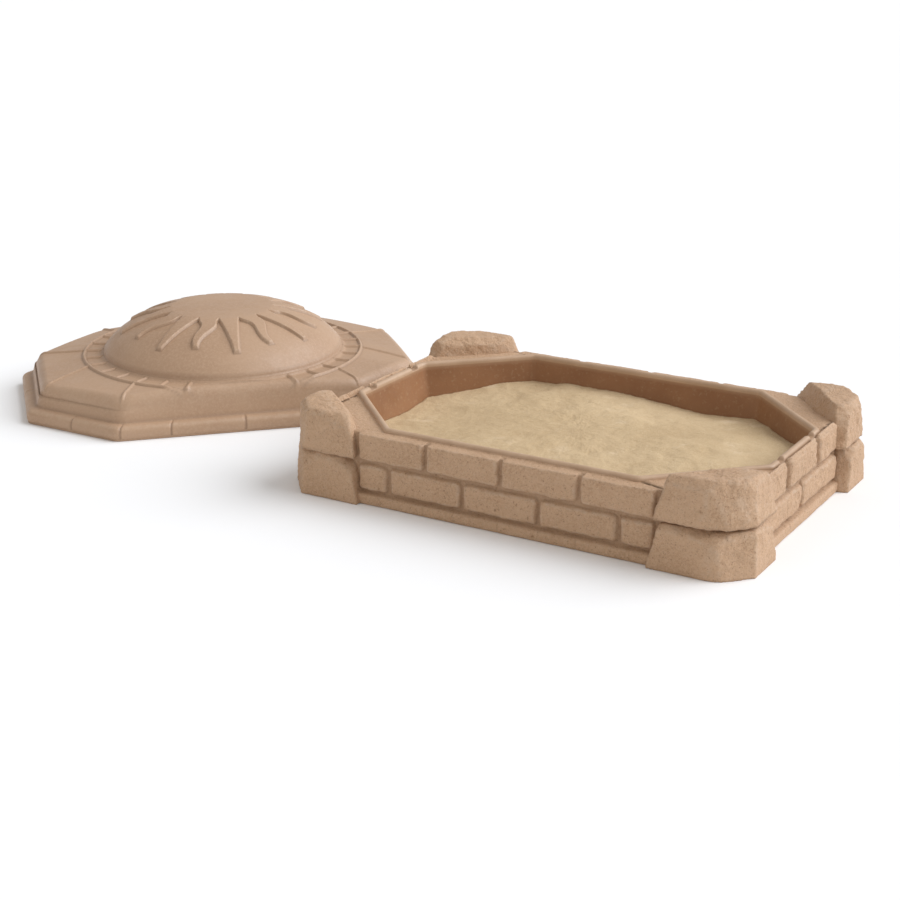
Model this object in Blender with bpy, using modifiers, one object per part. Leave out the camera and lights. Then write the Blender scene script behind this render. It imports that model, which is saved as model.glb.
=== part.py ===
"""Covered sandbox: a hollow moulded base that looks like a low wall of stone blocks, the loose sand
in its basin, and a domed cover that lies on the ground beside it.

Metres, +Z up. The origin is the middle of the base's underside, +X runs along its long side.
Each node is one closed body: base, sand_fill and cover.
"""
import math
import random

import bmesh
import bpy
from mathutils import Matrix

# ---- base: driving dimensions -------------------------------------------------------------
BASE_LENGTH = 1.676          # over the corner stones
BASE_WIDTH = 1.200
LEDGE_Z = 0.240              # top of the block wall
BEAD_Z = 0.2545              # top of the rounded rim bead
STONE_TOP_Z = 0.300
FLOOR_Z = 0.070              # basin floor
WALL = 0.0035                # moulded wall thickness
HALF_LENGTH = BASE_LENGTH / 2
HALF_WIDTH = BASE_WIDTH / 2

# Octagon outlines are (half length, half width, chamfer), the chamfer line being |x| + |y| = chamfer.
JOINT_OUTLINE = (HALF_LENGTH - 0.058, HALF_WIDTH - 0.042, 1.130)    # bottom of the joints in the wall
BEAD_OUTLINE = (0.760, 0.513, 0.966)     # crest of the rim bead
BEAD_HALF = 0.012
PLINTH_OUT = 0.026                       # the plinth stands this far out of the joints
BASIN_DRAFT = 0.022                      # the basin wall leans in by this much
PLINTH_FOOT = 0.005                      # bevel along the plinth's foot
PLINTH_TOP_Z = 0.030                     # from here the plinth slopes back to the wall
PLINTH_MEET_Z = 0.040
LEDGE_BEVEL = 0.003
BEAD_FOOT_RISE = 0.0005                  # the ledge rises by this much towards the bead
BEAD_SIDE = 0.45                         # share of the bead's height that its flanks take
BEAD_STEPS = 6
FLOOR_FILLET = ((0.000, 0.018), (0.006, 0.005), (0.018, 0.000))   # inset, height above the floor
HOLLOW_SHOULDER = 0.002
HOLLOW_FILLET = 0.014

# Block courses: (low z, high z) and how far a block stands out of the joints.
LOWER_COURSE = (0.047, 0.133)
UPPER_COURSE = (0.153, 0.2385)
BLOCK_OUT = 0.017
BLOCK_SINK = 0.006
BLOCK_GAP = 0.016
BLOCK_BEVEL = 0.006
LONG_PITCH = 0.277
SHORT_PITCH = 0.275
LONG_COURSE_HALF = 0.527                 # courses end beside the corner stones
SHORT_COURSE_HALF = 0.325
END_LIP_Z = 0.250                        # upper end blocks rise past the ledge as a lip
LIP_SINK = 0.001                         # a groove is left between that lip and the bead

NOTCH_Y = 0.1375
NOTCH_WIDTH = 0.024
NOTCH_INWARD = 0.06
NOTCH_OVERCUT = 0.05
NOTCH_Z = 0.243

VENT_RADIUS = 0.010
VENT_SIDES = 12
VENT_CUT = 0.03
VENT_PLACES = ((0.45, 0.30), (-0.45, 0.30), (-0.45, -0.30), (0.45, -0.30))

# Corner stones: plan outlines, measured inwards from the base's outer corner along X and Y.
LOWER_STONE = ((0.303, 0.000), (0.091, 0.000), (0.000, 0.0985), (0.000, 0.250),
               (0.068, 0.275), (0.148, 0.220), (0.258, 0.120), (0.303, 0.070))
UPPER_STONE = ((0.290, 0.014), (0.100, 0.014), (0.016, 0.102), (0.016, 0.260),
               (0.063, 0.278), (0.110, 0.240), (0.234, 0.128), (0.288, 0.068))
STONE_HALF = 0.13                        # about half a stone's width
STONE_ROUGHNESS = 0.022                  # how far a ring's points fall short, as a share of that
STONE_LEVELS = ((0.0, 0.965), (0.12, 1.0), (0.45, 0.995), (0.78, 0.965), (0.93, 0.90), (1.0, 0.78))
LOWER_STONE_Z = (0.002, 0.149)
UPPER_STONE_Z = (0.156, STONE_TOP_Z)

# ---- sand ---------------------------------------------------------------------------------
CLEARANCE = 0.0004
SAND_LEVEL = 0.152
SAND_FOOT = 0.020                        # the sand's foot is cut off above the basin's fillet
SAND_GAP = 0.003                         # and its side stays this far from the basin wall
SAND_RINGS = (0.86, 0.70, 0.52, 0.33, 0.15)
# Mounds and hollows: (x, y, height, spread).
SAND_FORMS = ((0.10, 0.12, 0.022, 0.30), (0.45, -0.10, 0.016, 0.22), (-0.72, 0.00, -0.040, 0.26),
              (-0.30, -0.20, 0.012, 0.20), (0.00, 0.50, 0.010, 0.30), (-0.45, 0.35, 0.008, 0.18))

# ---- cover --------------------------------------------------------------------------------
COVER_PLACE = (-1.700, 0.222)            # where it lies on the ground
COVER_YAW = math.radians(45.5)
COVER_OUTLINE = (0.785, 0.565, 1.043)
COVER_WALL = 0.004
RING_RADIUS = 0.546                      # the deck is level inside this circle and falls outside it
DECK_Z = 0.165
DECK_FALL = 0.15
DOME_RADIUS = 0.470
DOME_RISE = 0.187
DOME_POWER = 0.57
DOME_RINGS = (0.462, 0.440, 0.400, 0.340, 0.270, 0.205)
DISC_RADIUS = 0.195
DISC_EDGE_Z = 0.342
DISC_CENTRE_Z = 0.357
DISC_FALL = 0.004
# Flange and side wall: (inset from the outline, height).
COVER_SIDE = ((0.004, 0.000), (0.004, 0.007), (0.000, 0.016), (0.000, 0.032), (0.006, 0.045),
              (0.020, 0.053), (0.037, 0.055), (0.042, 0.062), (0.055, 0.105))
# Rounded edge of the deck: (inset from the outline, drop below the deck).
COVER_EDGE = ((0.064, 0.012), (0.070, 0.003), (0.079, 0.000))

OUTLINE_CORNER = 0.030                   # rounding radius of an octagon's corners
CORNER_STEPS = 2
SIDE_SPLITS = (6, 5, 10, 5, 6, 5, 10, 5) # points along each side of an octagon, from the +X side on

BASE_COLOR = (0.43, 0.28, 0.17)
SAND_COLOR = (0.60, 0.44, 0.24)
COVER_COLOR = (0.47, 0.32, 0.21)


# ---- scene, materials and mesh helpers ----------------------------------------------------
def clear_scene():
    for obj in list(bpy.data.objects):
        bpy.data.objects.remove(obj, do_unlink=True)


def make_collection(name):
    collection = bpy.data.collections.new(name)
    bpy.context.scene.collection.children.link(collection)
    return collection


def make_material(name, color, roughness):
    material = bpy.data.materials.new(name)
    material.use_nodes = True
    shader = material.node_tree.nodes["Principled BSDF"]
    shader.inputs["Base Color"].default_value = (*color, 1.0)
    shader.inputs["Roughness"].default_value = roughness
    shader.inputs["Metallic"].default_value = 0.0
    return material


def add_object(name, mesh, collection):
    obj = bpy.data.objects.new(name, mesh)
    collection.objects.link(obj)
    return obj


def loft(name, rings, cap_low=True, cap_high=True):
    """A skin through closed outlines with equal point counts, each running counter-clockwise.

    Its faces are triangles, so that every one of them is flat.
    """
    bm = bmesh.new()
    loops = [[bm.verts.new(point) for point in ring] for ring in rings]
    count = len(loops[0])
    for low, high in zip(loops, loops[1:]):
        for i in range(count):
            j = (i + 1) % count
            bm.faces.new((low[i], low[j], high[j], high[i]))
    if cap_low:
        bm.faces.new(list(reversed(loops[0])))
    if cap_high:
        bm.faces.new(loops[-1])
    bmesh.ops.triangulate(bm, faces=list(bm.faces))
    mesh = bpy.data.meshes.new(name)
    bm.to_mesh(mesh)
    bm.free()
    return mesh


def join_meshes(name, meshes):
    bm = bmesh.new()
    for mesh in meshes:
        bm.from_mesh(mesh)
        bpy.data.meshes.remove(mesh)
    joined = bpy.data.meshes.new(name)
    bm.to_mesh(joined)
    bm.free()
    return joined


def box_mesh(name, low, high, bevel=0.0):
    """A box between two corners, with its edges chamfered when bevel is given."""
    size = [b - a for a, b in zip(low, high)]
    middle = [(a + b) / 2 for a, b in zip(low, high)]
    bm = bmesh.new()
    bmesh.ops.create_cube(bm, size=1.0, matrix=Matrix.Translation(middle) @ Matrix.Diagonal((*size, 1.0)))
    if bevel:
        bmesh.ops.bevel(bm, geom=list(bm.edges), offset=bevel, segments=1, affect="EDGES")
    mesh = bpy.data.meshes.new(name)
    bm.to_mesh(mesh)
    bm.free()
    return mesh


def cutter(name, mesh, collection):
    obj = add_object(name, mesh, collection)
    obj.hide_render = True
    obj.display_type = "WIRE"
    return obj


def combine(obj, other, operation):
    modifier = obj.modifiers.new(other.name, "BOOLEAN")
    modifier.operation = operation
    modifier.solver = "EXACT"
    modifier.object = other


# ---- octagon outlines ---------------------------------------------------------------------
def inset(outline, distance):
    length, width, chamfer = outline
    return (length - distance, width - distance, chamfer - distance * math.sqrt(2))


def octagon_corners(outline):
    """The eight corners, counter-clockwise from the low end of the +X side."""
    length, width, chamfer = outline
    quarter = [(length, chamfer - length), (chamfer - width, width)]
    return ([(length, length - chamfer)] + quarter + [(width - chamfer, width), (-length, chamfer - length),
            (-length, length - chamfer), (width - chamfer, -width), (chamfer - width, -width)])


def rounded_octagon(outline, z, radius=OUTLINE_CORNER):
    """An octagon with each corner drawn as an arc."""
    corners = octagon_corners(outline)
    reach = radius * math.tan(math.radians(22.5))
    ring = []
    for i, (x, y) in enumerate(corners):
        before, after = corners[i - 1], corners[(i + 1) % 8]
        start_angle = math.atan2(y - before[1], x - before[0]) - math.pi / 2
        end_angle = math.atan2(after[1] - y, after[0] - x) - math.pi / 2
        turn = (end_angle - start_angle) % (2 * math.pi)
        span = math.dist(before, (x, y))
        start = (x + (before[0] - x) / span * reach, y + (before[1] - y) / span * reach)
        centre = (start[0] - radius * math.cos(start_angle), start[1] - radius * math.sin(start_angle))
        for step in range(CORNER_STEPS + 1):
            angle = start_angle + turn * step / CORNER_STEPS
            ring.append((centre[0] + radius * math.cos(angle), centre[1] + radius * math.sin(angle), z))
    return ring


# ---- base ---------------------------------------------------------------------------------
def wall_body():
    """The block wall's core, its plinth, the ledge, the rim bead and the basin, as one skin."""
    plinth = inset(JOINT_OUTLINE, -PLINTH_OUT)
    rings = [
        rounded_octagon(inset(plinth, PLINTH_FOOT), 0.0),
        rounded_octagon(plinth, PLINTH_FOOT),
        rounded_octagon(plinth, PLINTH_TOP_Z),
        rounded_octagon(JOINT_OUTLINE, PLINTH_MEET_Z),
        rounded_octagon(JOINT_OUTLINE, LEDGE_Z - LEDGE_BEVEL),
        rounded_octagon(inset(JOINT_OUTLINE, LEDGE_BEVEL), LEDGE_Z),
        rounded_octagon(inset(BEAD_OUTLINE, -BEAD_HALF), LEDGE_Z + BEAD_FOOT_RISE),
    ]
    bead_height = BEAD_Z - LEDGE_Z
    for step in range(BEAD_STEPS + 1):
        angle = math.pi * step / BEAD_STEPS
        rise = bead_height * (BEAD_SIDE + (1.0 - BEAD_SIDE) * math.sin(angle))
        rings.append(rounded_octagon(inset(BEAD_OUTLINE, -BEAD_HALF * math.cos(angle)), LEDGE_Z + rise))
    basin = inset(BEAD_OUTLINE, BEAD_HALF)
    for distance, rise in FLOOR_FILLET:
        rings.append(rounded_octagon(inset(basin, BASIN_DRAFT + distance), FLOOR_Z + rise))
    return loft("wall_body", rings)


def wall_hollow():
    """The space between the outer wall and the basin, one wall thickness inside every face."""
    outer = inset(JOINT_OUTLINE, WALL)
    basin = inset(inset(BEAD_OUTLINE, BEAD_HALF), -WALL)
    rings = [
        rounded_octagon(outer, WALL),
        rounded_octagon(outer, LEDGE_Z - WALL),
        rounded_octagon(inset(basin, -HOLLOW_SHOULDER), LEDGE_Z - WALL),
        rounded_octagon(inset(basin, BASIN_DRAFT), FLOOR_Z + HOLLOW_FILLET),
        rounded_octagon(inset(basin, BASIN_DRAFT + FLOOR_FILLET[-1][0]), FLOOR_Z - WALL),
    ]
    return loft("wall_hollow", rings)


def stone_mesh(name, outline, z_range, flip_x, flip_y, seed, shrink=0.0):
    """A rough boulder: its plan outline stacked in rings that swell, tilt and round off at the top."""
    rng = random.Random(seed)
    low, high = z_range
    height = high - low
    outline = [(HALF_LENGTH - x, HALF_WIDTH - y) for x, y in outline]
    centre_x = sum(x for x, _ in outline) / len(outline)
    centre_y = sum(y for _, y in outline) / len(outline)
    rings = []
    for share, scale in STONE_LEVELS:
        ring = []
        for x, y in outline:
            roughness = 0.0 if scale == 1.0 else rng.uniform(0.0, STONE_ROUGHNESS)
            wobble = scale - roughness - shrink / STONE_HALF
            z = low + shrink + share * (height - 2 * shrink)
            ring.append((flip_x * (centre_x + (x - centre_x) * wobble),
                         flip_y * (centre_y + (y - centre_y) * wobble), z))
        if flip_x * flip_y > 0:
            ring.reverse()
        rings.append(ring)
    return loft(name, rings)


def corner_stones(name, shrink=0.0):
    """Two stacked stones in each of the four corners."""
    meshes = []
    for index, (flip_x, flip_y) in enumerate(((1, 1), (-1, 1), (-1, -1), (1, -1))):
        for course, (outline, z_range) in enumerate(((LOWER_STONE, LOWER_STONE_Z),
                                                     (UPPER_STONE, UPPER_STONE_Z))):
            seed = 10 * index + course
            meshes.append(stone_mesh(name, outline, z_range, flip_x, flip_y, seed, shrink))
    return join_meshes(name, meshes)


def course_spans(pitch, half, seam_on_middle):
    """Start and end of each block along one wall, between -half and half."""
    first = 0.0 if seam_on_middle else pitch / 2
    seams = [0.0] if seam_on_middle else []
    position = first if first else pitch
    while position < half - pitch * 0.3:
        seams += [position, -position]
        position += pitch
    seams = sorted(seams)
    edges = [-half - BLOCK_GAP / 2] + seams + [half + BLOCK_GAP / 2]
    return [(a + BLOCK_GAP / 2, b - BLOCK_GAP / 2) for a, b in zip(edges, edges[1:])]


def wall_blocks(name, shrink=0.0):
    """The blocks of both courses on all four walls, or with shrink the hollows behind their faces."""
    length, width, _ = JOINT_OUTLINE
    bevel = 0.0 if shrink else BLOCK_BEVEL
    reach = 5 * shrink
    out = BLOCK_OUT - shrink
    lip_course = (UPPER_COURSE[0], LEDGE_Z if shrink else END_LIP_Z)
    long_courses = ((LOWER_COURSE, False), (UPPER_COURSE, True))
    short_courses = ((LOWER_COURSE, True, BLOCK_SINK), (lip_course, False, LIP_SINK))
    meshes = []
    for side in (-1, 1):
        for (low, high), seam_on_middle in long_courses:
            near, far = sorted((side * (width - BLOCK_SINK - reach), side * (width + out)))
            for start, end in course_spans(LONG_PITCH, LONG_COURSE_HALF, seam_on_middle):
                meshes.append(box_mesh(name, (start + shrink, near, low + shrink),
                                       (end - shrink, far, high - shrink), bevel))
        for (low, high), seam_on_middle, sink in short_courses:
            near, far = sorted((side * (length - sink - reach), side * (length + out)))
            for start, end in course_spans(SHORT_PITCH, SHORT_COURSE_HALF, seam_on_middle):
                meshes.append(box_mesh(name, (near, start + shrink, low + shrink),
                                       (far, end - shrink, high - shrink), bevel))
    return join_meshes(name, meshes)


def rim_notches():
    """The joints of the end walls run on across the rim bead."""
    length = JOINT_OUTLINE[0]
    meshes = []
    for side in (-1, 1):
        near, far = sorted((side * (BEAD_OUTLINE[0] - NOTCH_INWARD), side * (length + NOTCH_OVERCUT)))
        for place in (-NOTCH_Y, NOTCH_Y):
            low = (near, place - NOTCH_WIDTH / 2, NOTCH_Z)
            high = (far, place + NOTCH_WIDTH / 2, BEAD_Z + NOTCH_OVERCUT)
            meshes.append(box_mesh("notch", low, high))
    return join_meshes("rim_notches", meshes)


def vent_holes():
    """Round holes through the underside, which let the hollow breathe."""
    bm = bmesh.new()
    for x, y in VENT_PLACES:
        bmesh.ops.create_cone(bm, cap_ends=True, segments=VENT_SIDES, radius1=VENT_RADIUS, radius2=VENT_RADIUS,
                              depth=VENT_CUT, matrix=Matrix.Translation((x, y, 0.0)))
    mesh = bpy.data.meshes.new("vent_holes")
    bm.to_mesh(mesh)
    bm.free()
    return mesh


def build_base(parts, cutters, material):
    base = add_object("base", wall_body(), parts)
    base.data.materials.append(material)
    hollow = cutter("hollow", wall_hollow(), cutters)
    combine(hollow, cutter("stone_hollows", corner_stones("stone_hollows", WALL), cutters), "UNION")
    combine(hollow, cutter("block_hollows", wall_blocks("block_hollows", WALL), cutters), "UNION")
    combine(base, cutter("stones", corner_stones("stones"), cutters), "UNION")
    combine(base, cutter("blocks", wall_blocks("blocks"), cutters), "UNION")
    combine(base, cutter("notches", rim_notches(), cutters), "DIFFERENCE")
    combine(base, hollow, "DIFFERENCE")
    combine(base, cutter("vents", vent_holes(), cutters), "DIFFERENCE")


# ---- sand ---------------------------------------------------------------------------------
def sand_height(x, y):
    z = SAND_LEVEL
    for centre_x, centre_y, height, spread in SAND_FORMS:
        distance_squared = (x - centre_x) ** 2 + (y - centre_y) ** 2
        z += height * math.exp(-distance_squared / (2 * spread ** 2))
    return z


def outline_points(outline):
    """Points along an octagon with its corners kept: more on the long sides than on the short ones."""
    corners = octagon_corners(outline)
    points = []
    for i, (x, y) in enumerate(corners):
        after = corners[(i + 1) % 8]
        for step in range(SIDE_SPLITS[i]):
            share = step / SIDE_SPLITS[i]
            points.append((x + (after[0] - x) * share, y + (after[1] - y) * share))
    return points


def build_sand(parts, material):
    """The sand fills the basin up to an uneven top."""
    basin = inset(BEAD_OUTLINE, BEAD_HALF + CLEARANCE)
    depth = BEAD_Z - LEDGE_Z

    def lean(z):
        top = LEDGE_Z + depth * BEAD_SIDE
        return BASIN_DRAFT * (top - z) / (top - FLOOR_Z - FLOOR_FILLET[0][1])

    floor_ring = outline_points(inset(basin, BASIN_DRAFT + SAND_FOOT))
    wall_ring = outline_points(inset(basin, BASIN_DRAFT + SAND_GAP))
    rim = []
    for x, y in outline_points(basin):
        z = sand_height(x, y)
        scale = 1.0 - (lean(z) + SAND_GAP) / min(abs(BEAD_OUTLINE[1]), math.hypot(x, y))
        rim.append((x * scale, y * scale, z))
    rings = [[(x, y, FLOOR_Z + CLEARANCE) for x, y in floor_ring],
             [(x, y, FLOOR_Z + SAND_FOOT) for x, y in wall_ring], rim]
    for scale in SAND_RINGS:
        rings.append([(x * scale, y * scale, sand_height(x * scale, y * scale)) for x, y, _ in rim])
    sand = add_object("sand_fill", loft("sand_fill", rings), parts)
    sand.data.materials.append(material)


# ---- cover --------------------------------------------------------------------------------
def deck_height(x, y):
    return DECK_Z - DECK_FALL * max(0.0, math.hypot(x, y) - RING_RADIUS)


def dome_height(radius):
    return DECK_Z + DOME_RISE * (1.0 - (radius / DOME_RADIUS) ** 2) ** DOME_POWER


def build_cover(parts, material):
    """A skin from the flange's foot to the middle of the dome, thickened inwards; it is open below."""
    rings = [[(x, y, z) for x, y in outline_points(inset(COVER_OUTLINE, distance))]
             for distance, z in COVER_SIDE]
    for distance, drop in COVER_EDGE:
        points = outline_points(inset(COVER_OUTLINE, distance))
        rings.append([(x, y, deck_height(x, y) - drop) for x, y in points])
    directions = [(x / math.hypot(x, y), y / math.hypot(x, y)) for x, y, _ in rings[-1]]
    deck = [((x + a * DOME_RADIUS) / 2, (y + b * DOME_RADIUS) / 2) for (x, y, _), (a, b)
            in zip(rings[-1], directions)]
    rings.append([(x, y, deck_height(x, y)) for x, y in deck])
    dome = [(DOME_RADIUS, DECK_Z)]
    dome += [(radius, dome_height(radius)) for radius in DOME_RINGS]
    dome += [(DISC_RADIUS, DISC_EDGE_Z), (0.100, DISC_CENTRE_Z - DISC_FALL), (0.030, DISC_CENTRE_Z)]
    for radius, z in dome:
        rings.append([(a * radius, b * radius, z) for a, b in directions])
    cover = add_object("cover", loft("cover", rings, cap_low=False), parts)
    cover.data.materials.append(material)
    cover.location = (*COVER_PLACE, 0.0)
    cover.rotation_euler = (0.0, 0.0, COVER_YAW)
    shell = cover.modifiers.new("wall", "SOLIDIFY")
    shell.thickness = COVER_WALL
    shell.offset = -1.0
    shell.use_even_offset = True


def main():
    clear_scene()
    parts = make_collection("covered_sandbox")
    cutters = make_collection("cutters")
    build_base(parts, cutters, make_material("granite_plastic", BASE_COLOR, 0.65))
    build_sand(parts, make_material("sand", SAND_COLOR, 0.95))
    build_cover(parts, make_material("tan_plastic", COVER_COLOR, 0.55))


main()
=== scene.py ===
"""Looks of the covered sandbox: detailed skins for the base, the sand and the cover, their materials,
and the studio. Metres, in the CAD's frame."""
import math
import random

import bpy
import numpy as np
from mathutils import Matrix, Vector, noise


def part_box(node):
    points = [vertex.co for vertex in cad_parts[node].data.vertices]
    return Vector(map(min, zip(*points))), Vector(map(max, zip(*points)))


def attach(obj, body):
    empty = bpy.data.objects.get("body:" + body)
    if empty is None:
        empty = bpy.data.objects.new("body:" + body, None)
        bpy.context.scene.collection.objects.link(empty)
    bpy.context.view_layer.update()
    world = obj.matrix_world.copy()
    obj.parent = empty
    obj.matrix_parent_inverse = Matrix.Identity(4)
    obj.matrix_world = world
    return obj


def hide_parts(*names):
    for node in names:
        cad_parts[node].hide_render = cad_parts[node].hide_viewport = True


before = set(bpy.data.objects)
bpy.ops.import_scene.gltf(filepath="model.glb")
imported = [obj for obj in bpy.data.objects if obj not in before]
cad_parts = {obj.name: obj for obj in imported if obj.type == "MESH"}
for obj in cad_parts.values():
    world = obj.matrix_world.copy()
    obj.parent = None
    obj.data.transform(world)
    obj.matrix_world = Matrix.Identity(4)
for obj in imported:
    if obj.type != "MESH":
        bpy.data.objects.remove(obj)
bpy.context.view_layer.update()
_, base_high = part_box("base")
sand_low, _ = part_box("sand_fill")
cover_low, cover_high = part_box("cover")

# ---- sizes, read from the frame where it holds them ----
HALF_LENGTH = base_high.x
HALF_WIDTH = base_high.y
STONE_TOP = base_high.z
STONE_ABOVE_LEDGE = 0.060
STONE_ABOVE_BEAD = 0.0455
SAND_CLEARANCE = 0.0004
LEDGE_Z = STONE_TOP - STONE_ABOVE_LEDGE
BEAD_Z = STONE_TOP - STONE_ABOVE_BEAD
FLOOR_Z = sand_low.z - SAND_CLEARANCE
# Sides of an octagon, counted counter-clockwise from +X: the odd ones are its chamfers.
SHORT_SIDES = (0, 4)
LONG_SIDES = (2, 6)

# Octagons are (half length, half width, chamfer): the chamfer line is |x| + |y| = chamfer.
JOINT_OUTLINE = (HALF_LENGTH - 0.058, HALF_WIDTH - 0.042, 1.130)
BEAD_OUTLINE = (0.760, 0.513, 0.966)
BEAD_HALF = 0.012
BEAD_WIDEN = 1.02
BEAD_SINK = 0.001  # the bead starts this far below the ledge
BEAD_ROUNDNESS = 0.8
BEAD_STEPS = 16
BASIN_DRAFT = 0.022
BASIN_FILLET = 0.018
WALL_TOP = LEDGE_Z - 0.004  # top of the basin wall
PLINTH_OUT = 0.026
PLINTH_Z = 0.036
# The plinth's face: (offset from its full width, height).
PLINTH_PROFILE = ((-0.010, 0.0), (-0.003, 0.0012), (0.0, 0.005), (0.0, 0.013), (0.0, 0.021),
                  (-0.0005, 0.028))
SLIT_WIDTH = 0.003
SLIT_DEPTH = 0.0022

LOWER_COURSE = (0.047, 0.136)
UPPER_COURSE = (0.149, 0.300)  # the ledge cuts these blocks off
BLOCK_OUT = 0.017
BLOCK_GAP = 0.013
END_GAP = 0.028
BLOCK_CORNER = 0.013
EDGE_ROUND = 0.014
RAGGED_EDGE = 0.0030
CHISEL_DEPTH = 0.0046
PIT_DEPTH = 0.0018
BLOCK_TILT = 0.0016
BLOCK_STEP = 0.0015  # blocks stand out by up to this much more or less
MIN_BLOCK_SHARE = 0.3  # of the pitch: no seam leaves a shorter block
JOINT_TOP = BLOCK_OUT * 0.75  # a wall that stands out less than this is joint
WALL_STEP = 0.0048  # spacing of the wall's points
LEDGE_ROUND = 0.006
LEDGE_ROWS = (0.05, 0.10, 0.16, 0.23, 0.30, 0.38, 0.46, 0.54, 0.62, 0.70, 0.78, 0.85, 0.91, 0.96, 1.0)
LEDGE_OVERLAP = 0.005  # the ledge runs this far in under the bead
STRAIGHT_SHARE = 0.82  # of a side, where the ledge's rows run straight inwards
LIP_HEIGHT = 0.0125
LIP_PLACE = 0.24
LIP_WIDTH = 0.20
LEDGE_JOINT = 0.006
LEDGE_GROOVE = 0.0050
LONG_PITCH = 0.277
SHORT_PITCH = 0.275
LONG_COURSE_HALF = 0.533
SHORT_COURSE_HALF = 0.328
NOTCH_Y = SHORT_PITCH / 2
NOTCH_HALF = 0.019
NOTCH_DEPTH = 0.012

# Corner stones in plan, measured inwards from the base's outer corner.
LOWER_STONE = ((0.303, 0.000), (0.091, 0.000), (0.000, 0.0985), (0.000, 0.250),
               (0.068, 0.275), (0.148, 0.220), (0.258, 0.120), (0.303, 0.070))
UPPER_STONE = ((0.290, 0.014), (0.100, 0.014), (0.016, 0.102), (0.016, 0.260),
               (0.063, 0.278), (0.110, 0.240), (0.234, 0.128), (0.288, 0.068))

LOWER_STONE_Z = (0.0, 0.1495)
UPPER_STONE_Z = (0.1555, STONE_TOP)
LOWER_SEED, UPPER_SEED = 11, 31
LOWER_DRAFT, UPPER_DRAFT = 0.05, 0.09
LOWER_SHARPNESS, UPPER_SHARPNESS = 70.0, 62.0
INNER_LEAN = 0.16  # extra lean of the faces on the sand's side
CHISEL_CUTS = 9
STONE_STEPS = 44
STONE_SWELL = 1.02
BROAD_RELIEF, ROUGH_RELIEF, FINE_RELIEF = 0.0032, 0.0034, 0.0011
SIDE_OVERHANG = 0.002  # how far a stone may pass the CAD's box
TOP_OVERHANG = 0.004

SAND_LEVEL = 0.152
SAND_COLUMNS = 560
SAND_RINGS = 96
SAND_OVERLAP = 0.0015  # the sand's rim reaches this far into the basin wall
SAND_DENTS = 46
# Mounds and hollows: (x, y, height, spread).
SAND_FORMS = ((0.10, 0.12, 0.022, 0.30), (0.45, -0.10, 0.016, 0.22), (-0.72, 0.00, -0.040, 0.26),
              (-0.30, -0.20, 0.012, 0.20), (0.00, 0.50, 0.010, 0.30), (-0.45, 0.35, 0.008, 0.18),
              (0.22, 0.50, -0.026, 0.16), (0.52, 0.05, 0.010, 0.14))

COVER_CENTRE = ((cover_low.x + cover_high.x) / 2, (cover_low.y + cover_high.y) / 2)
COVER_YAW = math.radians(45.5)
COVER_OUTLINE = (0.785, 0.565, 1.043)
COVER_WALL = 0.004
DECK_Z = 0.165
DECK_FALL = 0.15
DOME_RADIUS = 0.470
DOME_RISE = 0.187
DOME_POWER = 0.57
DISC_RADIUS = 0.200
RING_RADIUS = 0.546
RELIEF = 0.0115
DISC_CROWN = 0.009


# ---- mesh helpers ----
def inset(outline, distance):
    length, width, chamfer = outline
    return (length - distance, width - distance, chamfer - distance * math.sqrt(2))


def octagon_corners(outline):
    """The eight corners, counter-clockwise from the low end of the +X side."""
    length, width, chamfer = outline
    far_y, far_x = chamfer - length, chamfer - width
    return [(length, -far_y), (length, far_y), (far_x, width), (-far_x, width),
            (-length, far_y), (-length, -far_y), (-far_x, -width), (far_x, -width)]


def fractal(x, y, z, scale, octaves=3):
    """Smooth noise between about -1 and 1 at one place, the same on each run."""
    return noise.fractal(Vector((x, y, z)) * scale, 0.9, 2.1, octaves)


def fractal_field(points, scale, octaves=3, shift=0.0):
    return np.array([fractal(x + shift, y - shift, z + 2 * shift, scale, octaves) for x, y, z in points])


def smooth(value, low, high):
    t = np.clip((value - low) / (high - low), 0.0, 1.0)
    return t * t * (3.0 - 2.0 * t)


def ring_faces(rows, columns, closed_rows=False):
    """Quads between successive rings of a skin; closed_rows joins the last ring to the first."""
    faces = []
    last = rows if closed_rows else rows - 1
    for r in range(last):
        low, high = r * columns, ((r + 1) % rows) * columns
        faces += [(low + i, low + (i + 1) % columns, high + (i + 1) % columns, high + i)
                  for i in range(columns)]
    return faces


def capped_faces(rows):
    """A closed skin: quads between the rings, and a face over the first and the last of them."""
    count = len(rows[0])
    last = (len(rows) - 1) * count
    return ring_faces(len(rows), count) + [tuple(range(count))[::-1], tuple(range(last, last + count))]


def make_object(name, points, faces, material, body, slot, *nodes):
    mesh = bpy.data.meshes.new(name)
    mesh.from_pydata([tuple(p) for p in points], [], faces)
    mesh.update()
    mesh.shade_smooth()
    mesh.materials.append(material)
    obj = bpy.data.objects.new(name, mesh)
    bpy.context.scene.collection.objects.link(obj)
    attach(obj, body)
    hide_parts(*nodes)
    return obj


def paint(obj, name, values):
    """A number for each vertex, which the material reads by name."""
    layer = obj.data.attributes.new(name, "FLOAT", "POINT")
    layer.data.foreach_set("value", np.asarray(values, np.float32))


def spaced(low, high, step, dense_at=(), reach=0.018, dense_step=0.0026):
    """Positions from low to high, closer together around the places in dense_at."""
    places = [low]
    while places[-1] < high:
        here = places[-1]
        near = any(abs(here - seam) < reach for seam in dense_at)
        ahead = min([seam - reach - here for seam in dense_at if seam - reach > here], default=step)
        places.append(here + (dense_step if near else max(dense_step, min(step, ahead))))
    places[-1] = high
    return places


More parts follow.
